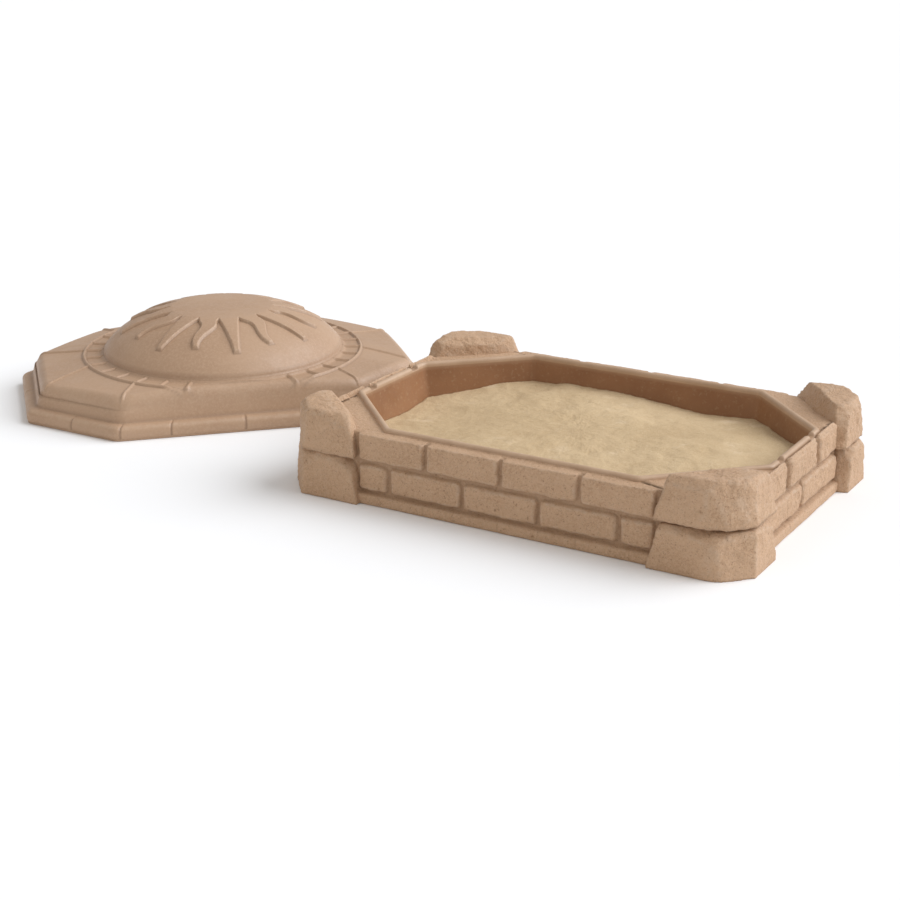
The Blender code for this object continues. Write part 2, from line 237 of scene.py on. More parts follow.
# ---- material helpers ----
class Nodes:
    """A short way to write a material's node tree."""

    def __init__(self, name, roughness):
        self.material = bpy.data.materials.new(name)
        self.material.use_nodes = True
        self.tree = self.material.node_tree
        self.shader = self.tree.nodes["Principled BSDF"]
        self.shader.inputs["Roughness"].default_value = roughness
        self.place = self.tree.nodes.new("ShaderNodeTexCoord").outputs["Object"]

    def link(self, source, target):
        self.tree.links.new(source, target)

    def noise(self, scale, detail=3.0, rough=0.55):
        node = self.tree.nodes.new("ShaderNodeTexNoise")
        node.inputs["Scale"].default_value = scale
        node.inputs["Detail"].default_value = detail
        node.inputs["Roughness"].default_value = rough
        self.link(self.place, node.inputs["Vector"])
        return node.outputs["Fac"]

    def attribute(self, name):
        node = self.tree.nodes.new("ShaderNodeAttribute")
        node.attribute_name = name
        return node.outputs["Fac"]

    def ramp(self, value, low, high, out_low=0.0, out_high=1.0):
        node = self.tree.nodes.new("ShaderNodeMapRange")
        node.interpolation_type = "SMOOTHSTEP"
        self.link(value, node.inputs["Value"])
        for key, number in (("From Min", low), ("From Max", high), ("To Min", out_low), ("To Max", out_high)):
            node.inputs[key].default_value = number
        return node.outputs["Result"]

    def math(self, operation, a, b):
        node = self.tree.nodes.new("ShaderNodeMath")
        node.operation = operation
        for socket, value in zip(node.inputs, (a, b)):
            if isinstance(value, (int, float)):
                socket.default_value = value
            else:
                self.link(value, socket)
        return node.outputs[0]

    def mix(self, share, a, b, blend="MIX"):
        node = self.tree.nodes.new("ShaderNodeMix")
        node.data_type = "RGBA"
        node.blend_type = blend
        self.link(share, node.inputs["Factor"])
        for socket, value in ((node.inputs[6], a), (node.inputs[7], b)):
            if isinstance(value, tuple):
                socket.default_value = (*value, 1.0)
            else:
                self.link(value, socket)
        return node.outputs[2]

    def flecks(self, color, fleck, amount, scale, chosen, size):
        """Specks of one colour: chosen sets which cells hold one, and size how far it reaches."""
        node = self.tree.nodes.new("ShaderNodeTexVoronoi")
        node.inputs["Scale"].default_value = scale
        self.link(self.place, node.inputs["Vector"])
        specks = self.math("MULTIPLY", self.ramp(node.outputs["Color"], *chosen),
                           self.ramp(node.outputs["Distance"], *size))
        return self.mix(self.math("MULTIPLY", specks, amount), color, fleck)

    def bump(self, height, distance, strength=1.0, under=None):
        node = self.tree.nodes.new("ShaderNodeBump")
        node.inputs["Strength"].default_value = strength
        node.inputs["Distance"].default_value = distance
        self.link(height, node.inputs["Height"])
        if under is not None:
            self.link(under, node.inputs["Normal"])
        return node.outputs["Normal"]

    def finish(self, color, normal, roughness=None):
        self.link(color, self.shader.inputs["Base Color"])
        self.link(normal, self.shader.inputs["Normal"])
        if roughness is not None:
            self.link(roughness, self.shader.inputs["Roughness"])
        return self.material


# Linear colours: pairs are the two ends of a cloudy mix.
GRANITE_TONES = ((0.487, 0.295, 0.169), (0.556, 0.350, 0.211))
# Painted shade for the joints and creases of the base.
GRANITE_SHADE = (0.250, 0.150, 0.090)
# Painted highlight for the edges and ridge tops of the base.
GRANITE_HIGHLIGHT = (0.600, 0.450, 0.325)
RIM_TONES = ((0.470, 0.312, 0.198), (0.525, 0.358, 0.235))
# Painted shade: the basin wall's tan, darker and warmer, with warm light bounced from the sand.
BASIN_SHADED_TONES = ((0.264, 0.122, 0.053), (0.308, 0.149, 0.068))
BASIN_DUST = (0.520, 0.370, 0.215)
COVER_TONES = ((0.414, 0.259, 0.159), (0.462, 0.299, 0.189))
# Painted shade and painted highlight for the cover.
COVER_SHADE = (0.250, 0.155, 0.096)
COVER_HIGHLIGHT = (0.600, 0.460, 0.335)
SAND_TONES = ((0.560, 0.400, 0.228), (0.630, 0.462, 0.275))
# Painted shade for the sand's hollows.
SAND_SHADE = (0.420, 0.280, 0.150)
FLOOR_TONES = ((0.935, 0.933, 0.932), (0.945, 0.943, 0.942))


def granite_plastic():
    """Matte tan plastic with dark and light flecks, painted shade in the joints and creases, and a painted
    highlight on edges and ridge tops.
    """
    n = Nodes("granite_plastic", 0.62)
    color = n.mix(n.ramp(n.noise(7.0, 4.0), 0.36, 0.64), *GRANITE_TONES)
    color = n.mix(n.ramp(n.noise(150.0, 3.0, 0.7), 0.30, 0.70), color, (0.599, 0.395, 0.246))
    color = n.mix(n.ramp(n.noise(90.0, 4.0, 0.7), 0.42, 0.30), color, (0.353, 0.200, 0.108))
    color = n.flecks(color, (0.180, 0.108, 0.066), 0.38, 250.0, (0.66, 0.70), (0.42, 0.26))
    color = n.flecks(color, (0.640, 0.500, 0.370), 0.45, 310.0, (0.30, 0.26), (0.40, 0.25))
    # Painted shade: darker in the joints, slits, creases and at the stones' feet.
    painted_shade = n.attribute("painted_shade")
    color = n.mix(n.math("MULTIPLY", painted_shade, 0.30), color, GRANITE_SHADE)
    # Painted highlight: patchily paler on block edges, stone facets and the lip's top.
    painted_highlight = n.math("MULTIPLY", n.attribute("painted_highlight"), n.ramp(n.noise(45.0, 4.0), 0.35, 0.65))
    color = n.mix(n.math("MULTIPLY", painted_highlight, 0.45), color, GRANITE_HIGHLIGHT)
    coarse = n.bump(n.noise(75.0, 6.0, 0.68), 0.0085, 0.9)
    normal = n.bump(n.noise(330.0, 3.0, 0.65), 0.0018, 0.8, coarse)
    return n.finish(color, normal, n.ramp(n.noise(60.0), 0.3, 0.7, 0.54, 0.72))


def basin_plastic():
    """Smooth plastic: pale on the rim bead, and a painted shade down the basin wall, darker and warmer, with
    warm light bounced from the sand.
    """
    n = Nodes("basin_plastic", 0.5)
    pale = n.mix(n.ramp(n.noise(9.0, 3.0), 0.35, 0.65), *RIM_TONES)
    # Painted shade: the same tan, darker and warmer, for the shaded basin wall.
    shaded = n.mix(n.ramp(n.noise(5.0, 4.0), 0.35, 0.65), *BASIN_SHADED_TONES)
    color = n.mix(n.attribute("depth"), pale, shaded)
    dust = n.math("MULTIPLY", n.attribute("depth"), n.ramp(n.noise(70.0, 5.0, 0.7), 0.52, 0.75))
    color = n.mix(n.math("MULTIPLY", dust, 0.35), color, BASIN_DUST)
    color = n.flecks(color, (0.180, 0.105, 0.065), 0.22, 280.0, (0.70, 0.74), (0.38, 0.25))
    normal = n.bump(n.noise(230.0, 4.0, 0.6), 0.0006, 0.6)
    return n.finish(color, normal, n.ramp(n.noise(30.0), 0.3, 0.7, 0.42, 0.58))


def cover_plastic():
    """Smooth satin tan plastic with faint clouding and a fine orange-peel skin, painted shade in its grooves
    and seams, and a painted highlight on its edges and ridge tops.
    """
    n = Nodes("tan_plastic", 0.48)
    color = n.mix(n.ramp(n.noise(2.6, 3.0), 0.35, 0.65), *COVER_TONES)
    color = n.mix(n.ramp(n.noise(110.0, 4.0, 0.7), 0.40, 0.72), color, (0.493, 0.328, 0.214))
    color = n.flecks(color, (0.230, 0.145, 0.092), 0.20, 270.0, (0.68, 0.72), (0.38, 0.24))
    # Painted shade in grooves, seams and at the dome's foot.
    color = n.mix(n.math("MULTIPLY", n.attribute("painted_shade"), 0.65), color, COVER_SHADE)
    # Painted highlight on edges and ridge tops.
    painted_highlight = n.math("MULTIPLY", n.attribute("painted_highlight"), n.ramp(n.noise(40.0, 4.0), 0.30, 0.65))
    color = n.mix(n.math("MULTIPLY", painted_highlight, 0.35), color, COVER_HIGHLIGHT)
    coarse = n.bump(n.noise(24.0, 3.0), 0.0022, 0.35)
    normal = n.bump(n.noise(380.0, 3.0, 0.6), 0.0005, 0.55, coarse)
    return n.finish(color, normal, n.ramp(n.noise(18.0), 0.3, 0.7, 0.42, 0.56))


def sand_grains():
    """Pale dry sand with painted shade in its hollows, and single dark and bright grains."""
    n = Nodes("sand_grains", 0.95)
    n.shader.inputs["Specular IOR Level"].default_value = 0.25
    color = n.mix(n.ramp(n.noise(3.0, 3.0), 0.34, 0.66), *SAND_TONES)
    color = n.mix(n.ramp(n.noise(9.0, 5.0, 0.6), 0.56, 0.80), color, (0.740, 0.575, 0.385))
    # Painted shade in the hollows.
    color = n.mix(n.math("MULTIPLY", n.attribute("hollow"), 0.35), color, SAND_SHADE)
    color = n.mix(n.ramp(n.noise(430.0, 4.0, 0.75), 0.50, 0.66), color, (0.800, 0.660, 0.440))
    color = n.mix(n.ramp(n.noise(520.0, 3.0, 0.7), 0.40, 0.28), color, (0.300, 0.190, 0.090))
    clods = n.bump(n.noise(55.0, 5.0, 0.7), 0.0050, 0.7)
    normal = n.bump(n.noise(520.0, 4.0, 0.8), 0.0014, 1.0, clods)
    return n.finish(color, normal)


def floor_paper():
    """Matte white studio floor."""
    n = Nodes("floor_paper", 0.9)
    n.shader.inputs["Specular IOR Level"].default_value = 0.1
    color = n.mix(n.ramp(n.noise(0.7, 2.0), 0.3, 0.7), *FLOOR_TONES)
    normal = n.bump(n.noise(60.0, 2.0), 0.0002, 0.1)
    return n.finish(color, normal)


# ---- base: the block wall ----
def course_seams(pitch, half, seam_on_middle):
    seams = [0.0] if seam_on_middle else []
    position = pitch if seam_on_middle else pitch / 2
    while position < half - pitch * MIN_BLOCK_SHARE:
        seams += [position, -position]
        position += pitch
    return sorted(seams)


def course_blocks(course, pitch, half, seam_on_middle, gap=BLOCK_GAP):
    """(start, end, low, high) of the blocks of one course, with the gaps taken out."""
    painted_highlights = [-half - gap / 2] + course_seams(pitch, half, seam_on_middle) + [half + gap / 2]
    return [(a + gap / 2, b - gap / 2, *course) for a, b in zip(painted_highlights, painted_highlights[1:])]


def block_relief(along, z, blocks, seed):
    """How far the wall stands out of its joints, and how near each point is to a block's edge, which sets the
    painted highlight there.
    """
    rng = random.Random(seed)
    out = np.zeros(along.shape)
    painted_highlight = np.zeros(along.shape)
    points = np.stack([along.ravel(), np.full(along.size, 3.0 * seed), z.ravel()], 1)
    ragged = fractal_field(points, 22.0, 3).reshape(along.shape) * RAGGED_EDGE
    chisel = fractal_field(points, 16.0, 3, 5.0).reshape(along.shape)
    pits = fractal_field(points, 70.0, 3, 9.0).reshape(along.shape)
    for start, end, low, high in blocks:
        middle, centre = (start + end) / 2, (low + high) / 2
        reach = np.abs(along - middle) - (end - start) / 2 + BLOCK_CORNER
        rise = np.abs(z - centre) - (high - low) / 2 + BLOCK_CORNER
        outside = np.hypot(np.maximum(reach, 0.0), np.maximum(rise, 0.0))
        distance = outside + np.minimum(np.maximum(reach, rise), 0.0) - BLOCK_CORNER + ragged
        t = np.clip(-distance / EDGE_ROUND, 0.0, 1.0)
        crown = np.sqrt(np.maximum(0.0, 1.0 - (1.0 - t) ** 2))
        tilt = rng.uniform(-1, 1) * BLOCK_TILT * (along - middle) / (end - start) * 2
        face = BLOCK_OUT + rng.uniform(-BLOCK_STEP, BLOCK_STEP) + tilt
        face = face + CHISEL_DEPTH * chisel + PIT_DEPTH * pits
        out = np.maximum(out, crown * face)
        # Painted highlight: strongest just inside each block's rounded edge.
        painted_highlight = np.maximum(painted_highlight, t * (1.0 - smooth(t, 0.45, 1.0)) * 3.0)
    return out, np.clip(painted_highlight, 0.0, 1.0)


def wall_columns():
    """(side, position along it) of every column, counter-clockwise from the low end of the +X side."""
    columns = []
    corners = octagon_corners(JOINT_OUTLINE)
    for side in range(8):
        length = math.dist(corners[side], corners[(side + 1) % 8])
        if side % 2:
            steps = 14
            columns += [(side, length * (i / steps - 0.5)) for i in range(steps)]
            continue
        long_side = side in LONG_SIDES
        pitch = LONG_PITCH if long_side else SHORT_PITCH
        half = LONG_COURSE_HALF if long_side else SHORT_COURSE_HALF
        seams = course_seams(pitch, half, True) + course_seams(pitch, half, False) + [-half, half]
        places = spaced(-length / 2, length / 2, WALL_STEP, seams)
        columns += [(side, place) for place in places[:-1]]
    return columns


def bead_foot(side, along):
    """Where the ledge, followed inwards from a place on the wall, meets the bead."""
    outer = octagon_corners(JOINT_OUTLINE)
    inner = octagon_corners(inset(BEAD_OUTLINE, LEDGE_OVERLAP - BEAD_HALF))
    (ax, ay), (bx, by) = inner[side], inner[(side + 1) % 8]
    outer_half = math.dist(outer[side], outer[(side + 1) % 8]) / 2
    inner_half = math.dist((ax, ay), (bx, by)) / 2
    if side % 2:
        along *= inner_half / outer_half
    else:
        kept = STRAIGHT_SHARE * inner_half
        beyond = max(0.0, abs(along) - kept) * (inner_half - kept) / (outer_half - kept)
        along = math.copysign(min(abs(along), kept) + beyond, along)
    share = 0.5 + along / (2 * inner_half)
    return (ax + (bx - ax) * share, ay + (by - ay) * share)


def build_block_wall(material):
    columns = wall_columns()
    corners = octagon_corners(JOINT_OUTLINE)
    frames = []
    for side, along in columns:
        (ax, ay), (bx, by) = corners[side], corners[(side + 1) % 8]
        length = math.dist((ax, ay), (bx, by))
        tangent = ((bx - ax) / length, (by - ay) / length)
        normal = (tangent[1], -tangent[0])
        middle = ((ax + bx) / 2, (ay + by) / 2)
        foot = (middle[0] + tangent[0] * along, middle[1] + tangent[1] * along)
        frames.append((side, along, foot, normal))
    count = len(frames)
    along = np.array([f[1] for f in frames])
    sides = np.array([f[0] for f in frames])
    foot = np.array([f[2] for f in frames])
    normal = np.array([f[3] for f in frames])
    inner = np.array([bead_foot(f[0], f[1]) for f in frames])

    face_z = spaced(0.043, LEDGE_Z - LEDGE_ROUND, WALL_STEP, (*LOWER_COURSE, UPPER_COURSE[0]), 0.013)
    out = np.zeros((len(face_z), count))
    painted_highlight = np.zeros((len(face_z), count))
    for side in (0, 2, 4, 6):
        here = sides == side
        long_side = side in LONG_SIDES
        pitch = LONG_PITCH if long_side else SHORT_PITCH
        half = LONG_COURSE_HALF if long_side else SHORT_COURSE_HALF
        blocks = (course_blocks(LOWER_COURSE, pitch, half, not long_side)
                  + course_blocks(UPPER_COURSE, pitch, half, long_side, BLOCK_GAP if long_side else END_GAP))
        z, place = np.meshgrid(face_z, along[here], indexing="ij")
        out[:, here], painted_highlight[:, here] = block_relief(place, z, blocks, side + 1)

    # Every row carries painted shade (joints, slits, creases, the bead's foot) and a painted highlight (block
    # edges, the lip).
    rows, painted_shades, painted_highlights = [], [], []

    def add(offset, z, painted_shade, highlight=0.0, inwards=0.0):
        offset = np.broadcast_to(np.asarray(offset, float), (count,))
        points = np.empty((count, 3))
        points[:, :2] = (foot + normal * offset[:, None]) * (1.0 - inwards) + inner * inwards
        points[:, 2] = z
        rows.append(points)
        painted_shades.append(np.broadcast_to(np.asarray(painted_shade, float), (count,)))
        painted_highlights.append(np.broadcast_to(np.asarray(highlight, float), (count,)))

    uneven = fractal_field(np.column_stack([foot, np.zeros(count)]), 9.0) * 0.0015
    add(0.0, 0.0, 0.3, 0.0, 1.0)
    from_seam = along - LONG_PITCH * np.round(along / LONG_PITCH)
    slit = np.exp(-(from_seam / SLIT_WIDTH) ** 2) * np.isin(sides, LONG_SIDES)
    # Painted shade in the plinth's slits, and a painted highlight on its top edge.
    for offset, z in PLINTH_PROFILE:
        add(PLINTH_OUT + offset + uneven - SLIT_DEPTH * slit, z, 0.8 * slit)
    add(PLINTH_OUT - 0.003 + uneven - SLIT_DEPTH * slit, PLINTH_Z - 0.0035, 0.8 * slit, 0.6 - 0.6 * slit)
    add(PLINTH_OUT - 0.009 + uneven, PLINTH_Z - 0.0008, 0.1)
    # Painted shade in the crease between the plinth and the blocks.
    add(0.006, PLINTH_Z + 0.001, 0.75)
    add(0.0015, PLINTH_Z + 0.0035, 1.0)
    # Painted shade in the joints between the blocks, and a painted highlight on their edges.
    for z, offset, highlight in zip(face_z, out, painted_highlight):
        painted_shade = 1.0 - smooth(offset, 0.0, JOINT_TOP)
        add(offset, z, painted_shade, highlight)
    crest = out[-1]
    # The ledge's rounded edge: painted shade over the joints, painted highlight along the blocks' top edge.
    for share in (0.35, 0.7, 1.0):
        angle = share * math.pi / 2
        add(crest - LEDGE_ROUND * (1.0 - math.cos(angle)), LEDGE_Z - LEDGE_ROUND * (1.0 - math.sin(angle)),
            1.0 - smooth(crest, 0.0, JOINT_TOP), 0.8 * np.sin(angle) * (crest > 0.008))
    seam = 1.0 - smooth(crest, 0.002, BLOCK_OUT * 0.8)
    short_side = np.isin(sides, SHORT_SIDES).astype(float)
    chamfer_side = (sides % 2).astype(float)
    start = crest - LEDGE_ROUND
    course_half = np.where(short_side > 0, SHORT_COURSE_HALF, LONG_COURSE_HALF)
    span = np.hypot(*(foot + normal * start[:, None] - inner).T)
    for share in LEDGE_ROWS:
        travelled = span * share
        lip = LIP_HEIGHT * math.exp(-((share - LIP_PLACE) / LIP_WIDTH) ** 4) * short_side
        lip = lip * (np.abs(along) < SHORT_COURSE_HALF)
        fading = np.where(short_side > 0, 1.0, 1.0 - smooth(travelled, 0.004, 0.022))
        sunk = LEDGE_JOINT * seam * (1.0 - chamfer_side) * fading * (np.abs(along) < course_half - 0.030)
        places = np.column_stack([(foot + normal * start[:, None]) * (1.0 - share) + inner * share,
                                  np.zeros(count)])
        grain = fractal_field(places, 26.0, 3) * 0.0009 + fractal_field(places, 7.0, 2, 4.0) * 0.0012
        z = LEDGE_Z + lip * (1.0 - seam) - sunk + grain * smooth(share, 0.0, 0.2)
        z = z + 0.0045 * smooth(travelled, span - 0.010, span - 0.003) * (1.0 - short_side)
        z = z - LEDGE_GROOVE * math.exp(-((share - 0.74) / 0.16) ** 2) * short_side * (1.0 - seam)
        # Painted shade in the sunk seams and at the bead's foot.
        shade = np.maximum(seam * (sunk > 0.001) * 0.8, 0.30 * smooth(travelled, span - 0.014, span - 0.004))
        # Painted highlight on the lip's top.
        add(start, z, shade, lip / LIP_HEIGHT * 0.7 * (1.0 - seam), share)
    add(start, LEDGE_Z - 0.030, 1.0, 0.0, 1.0)

    points = np.concatenate(rows)
    obj = make_object("base_block_wall", points, ring_faces(len(rows), count, True), material,
                      "base", "granite_plastic", "base")
    paint(obj, "painted_shade", np.concatenate(painted_shades))
    paint(obj, "painted_highlight", np.concatenate(painted_highlights))


# ---- base: corner stones ----
def cube_sphere(steps):
    """Unit directions on a cube's six faces, with the faces joined at their borders."""
    index, points, faces = {}, [], []

    def vertex(x, y, z):
        key = (x, y, z)
        if key not in index:
            index[key] = len(points)
            spread = [math.tan((2.0 * c / steps - 1.0) * math.pi / 4) for c in key]
            points.append(Vector(spread).normalized())
        return index[key]

    for axis in range(3):
        for end in (0, steps):
            for i in range(steps):
                for j in range(steps):
                    quad = []
                    for a, b in ((i, j), (i + 1, j), (i + 1, j + 1), (i, j + 1)):
                        place = [0, 0, 0]
                        place[axis], place[(axis + 1) % 3], place[(axis + 2) % 3] = end, a, b
                        quad.append(vertex(*place))
                    faces.append(tuple(quad if end else reversed(quad)))
    return np.array(points), faces


def stone_planes(outline, low, high, flip_x, flip_y, rng, draft):
    """Centre and cutting planes of a boulder: its sides, top and foot, and chiselled corners on top."""
    plan = [(flip_x * (HALF_LENGTH - x), flip_y * (HALF_WIDTH - y)) for x, y in outline]
    if flip_x * flip_y > 0:
        plan.reverse()
    centre = Vector((sum(x for x, _ in plan) / len(plan), sum(y for _, y in plan) / len(plan),
                     (low + high) / 2))
    half = (high - low) / 2
    planes = []
    for (ax, ay), (bx, by) in zip(plan, plan[1:] + plan[:1]):
        length = math.dist((ax, ay), (bx, by))
        flat = Vector(((by - ay) / length, -(bx - ax) / length, 0.0))
        distance = flat.dot(Vector(((ax + bx) / 2, (ay + by) / 2, centre.z)) - centre)
        if distance < 0:
            flat, distance = -flat, -distance
        out_x, out_y = flat.x * flip_x, flat.y * flip_y
        outer = max(out_x, out_y, (out_x + out_y) / math.sqrt(2)) > 0.9
        lean = draft + rng.uniform(-0.02, 0.04) + (0.0 if outer else INNER_LEAN)
        tilted = Vector((flat.x, flat.y, lean)).normalized()
        foot = flat * distance - Vector((0.0, 0.0, half * 0.4))
        planes.append((tilted, tilted.dot(foot)))
        if length > 0.08:
            cut = Vector((flat.x, flat.y, rng.uniform(0.5, 1.1))).normalized()
            corner = flat * (distance - 1.2 * half * lean) + Vector((0.0, 0.0, half))
            planes.append((cut, cut.dot(corner) - rng.uniform(0.008, 0.018)))
    top = Vector((rng.uniform(-0.06, 0.06), rng.uniform(-0.06, 0.06), 1.0)).normalized()
    planes.append((top, half))
    planes.append((Vector((0.0, 0.0, -1.0)), half))
    return centre, planes


def build_stone(name, outline, low, high, flip_x, flip_y, seed, material, draft, sharp):
    rng = random.Random(seed)
    centre, planes = stone_planes(outline, low, high, flip_x, flip_y, rng, draft)
    directions, faces = cube_sphere(STONE_STEPS)
    for _ in range(CHISEL_CUTS):
        normals = np.array([tuple(n) for n, _ in planes])
        distances = np.array([d for _, d in planes])
        block = directions / (directions @ normals.T / distances).max(1)[:, None]
        bent = Vector((rng.uniform(-0.7, 0.7), rng.uniform(-0.7, 0.7), rng.uniform(-0.3, 0.6)))
        way = (rng.choice(planes[:-1])[0] + bent).normalized()
        planes.append((way, (block @ np.array(way)).max() - rng.uniform(0.007, 0.016)))
    normals = np.array([tuple(n) for n, _ in planes])
    distances = np.array([d for _, d in planes])
    facing = np.maximum(directions @ normals.T, 0.0) / distances
    radius = (facing ** sharp).sum(1) ** (-1.0 / sharp)
    places = directions * radius[:, None] + np.array(centre)
    broad = fractal_field(places, 12.0, 3, seed)
    rough = fractal_field(places, 34.0, 4, 2.0 * seed)
    fine = fractal_field(places, 100.0, 2, 3.0 * seed)
    radius = radius * STONE_SWELL + BROAD_RELIEF * broad + ROUGH_RELIEF * rough + FINE_RELIEF * fine
    points = directions * radius[:, None] + np.array(centre)
    points[:, 0] = np.clip(points[:, 0], -HALF_LENGTH - SIDE_OVERHANG, HALF_LENGTH + SIDE_OVERHANG)
    points[:, 1] = np.clip(points[:, 1], -HALF_WIDTH - SIDE_OVERHANG, HALF_WIDTH + SIDE_OVERHANG)
    points[:, 2] = np.clip(points[:, 2], low, high + TOP_OVERHANG)
    obj = make_object(name, points, faces, material, "base", "granite_plastic", "base")
    # Painted highlight on the ridges between facets.
    ordered = np.sort(facing, axis=1)
    corner = smooth(ordered[:, -2] / ordered[:, -1], 0.94, 1.0)
    paint(obj, "painted_highlight", corner * (points[:, 2] > low + 0.02) * 0.8)
    # Painted shade at the stone's foot, strong between the stones and faint on the ground.
    foot = 1.0 - smooth(points[:, 2], low, low + 0.012)
    paint(obj, "painted_shade", foot * (0.9 if low > 0.05 else 0.2))


def build_corner_stones(material):
    corners = (("back_right", 1, 1), ("back_left", -1, 1), ("front_left", -1, -1), ("front_right", 1, -1))
    for index, (name, flip_x, flip_y) in enumerate(corners):
        build_stone("base_stone_lower_" + name, LOWER_STONE, *LOWER_STONE_Z, flip_x, flip_y,
                    LOWER_SEED + index, material, LOWER_DRAFT, LOWER_SHARPNESS)
        build_stone("base_stone_upper_" + name, UPPER_STONE, *UPPER_STONE_Z, flip_x, flip_y,
                    UPPER_SEED + index, material, UPPER_DRAFT, UPPER_SHARPNESS)


# ---- base: rim bead and basin ----
def rounded_octagon(outline, radius=0.030, corner_steps=7, end_steps=96, side_steps=24):
    """(x, y) around an octagon with arcs at its corners and closer points on the notched ends."""
    corners = octagon_corners(outline)
    reach = radius * math.tan(math.radians(22.5))
    ring = []
    for i, (x, y) in enumerate(corners):
        before, after = corners[i - 1], corners[(i + 1) % 8]
        start_angle = math.atan2(y - before[1], x - before[0]) - math.pi / 2
        end_angle = math.atan2(after[1] - y, after[0] - x) - math.pi / 2
        turn = (end_angle - start_angle) % (2 * math.pi)
        span = math.dist(before, (x, y))
        start = (x + (before[0] - x) / span * reach, y + (before[1] - y) / span * reach)
        centre = (start[0] - radius * math.cos(start_angle), start[1] - radius * math.sin(start_angle))
        for step in range(corner_steps + 1):
            angle = start_angle + turn * step / corner_steps
            ring.append((centre[0] + radius * math.cos(angle), centre[1] + radius * math.sin(angle)))
        steps = end_steps if i in SHORT_SIDES else side_steps
        length = math.dist((x, y), after)
        direction = ((after[0] - x) / length, (after[1] - y) / length)
        for step in range(1, steps):
            travel = reach + (length - 2 * reach) * step / steps
            ring.append((x + direction[0] * travel, y + direction[1] * travel))
    return np.array(ring)


def build_basin(material):
    rows, depths = [], []

    def add(distance, z, depth):
        ring = rounded_octagon(inset(BEAD_OUTLINE, distance))
        notch = np.zeros(len(ring))
        if z > LEDGE_Z:
            at_end = np.abs(ring[:, 0]) > BEAD_OUTLINE[0] - 0.03
            away = np.minimum(np.abs(ring[:, 1] - NOTCH_Y), np.abs(ring[:, 1] + NOTCH_Y))
            notch = (1.0 - smooth(away, NOTCH_HALF - 0.004, NOTCH_HALF + 0.004)) * at_end
        height = z - notch * np.maximum(0.0, z - (BEAD_Z - NOTCH_DEPTH))
        rows.append(np.column_stack([ring, height]))
        # The bead's notches get painted shade as well.
        depths.append(np.maximum(depth, 0.45 * notch))

    add(-BEAD_HALF - 0.002, 0.002, 0.0)
    add(-BEAD_HALF - 0.002, LEDGE_Z - 0.02, 0.0)
    for step in range(BEAD_STEPS + 1):
        angle = math.pi * step / BEAD_STEPS
        rise = (BEAD_Z - LEDGE_Z + BEAD_SINK) * math.sin(angle) ** BEAD_ROUNDNESS
        add(-BEAD_HALF * math.cos(angle) * BEAD_WIDEN, LEDGE_Z - BEAD_SINK + rise, 0.0)
    # depth sets the painted shade: none on the bead, 0.6 at the wall's top, full below.
    for share in (0.0, 0.08, 0.25, 0.5, 0.75, 1.0):
        add(BEAD_HALF * BEAD_WIDEN + BASIN_DRAFT * share,
            WALL_TOP + (FLOOR_Z + BASIN_FILLET - WALL_TOP) * share, 1.0 if share else 0.6)
    for angle in (0.35, 0.7, 1.05, 1.4):
        add(BEAD_HALF + BASIN_DRAFT + 0.016 * (1.0 - math.cos(angle)),
            FLOOR_Z + BASIN_FILLET - 0.017 * math.sin(angle), 1.0)
    obj = make_object("base_basin", np.concatenate(rows), capped_faces(rows), material,
                      "base", "granite_plastic", "base")
    # depth: how much painted shade each point takes.
    paint(obj, "depth", np.concatenate(depths))


# ---- sand ----
def sand_height(x, y):
    z = SAND_LEVEL
    for centre_x, centre_y, height, spread in SAND_FORMS:
        z += height * math.exp(-((x - centre_x) ** 2 + (y - centre_y) ** 2) / (2 * spread ** 2))
    return z


def sand_dents():
    """Shallow scoops and footmarks: (x, y, depth, spread)."""
    rng = random.Random(8)
    dents = []
    for _ in range(SAND_DENTS):
        dents.append((rng.uniform(-0.68, 0.68), rng.uniform(-0.43, 0.43),
                      rng.uniform(-0.0055, 0.0050), rng.uniform(0.018, 0.055)))
    return dents


